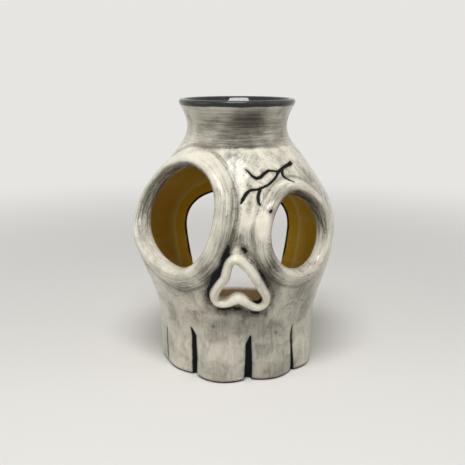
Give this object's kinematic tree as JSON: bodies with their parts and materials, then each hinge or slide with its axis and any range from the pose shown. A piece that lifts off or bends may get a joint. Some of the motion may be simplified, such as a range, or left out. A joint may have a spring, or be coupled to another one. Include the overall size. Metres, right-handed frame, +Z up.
{
  "type": "skull lantern",
  "caption": "Hollow wheel-thrown pot shaped as a skull, with a flared open neck, two eye sockets, a nose opening, scored teeth and an arched door at the back.",
  "frame": {"origin": "middle of the flat underside, on the axis that the pot was thrown on", "axes": "+Z up along the throwing axis, -Y towards the middle of the face, +X to the viewer's right"},
  "size_m": [0.1188, 0.1147, 0.155],
  "materials": {
    "cream_glaze": "glossy cream glaze, brushed with a thin black wash that stays in the carved lines"
  },
  "bodies": {
    "root": {"pot": "cream_glaze"}
  },
  "joints": []
}
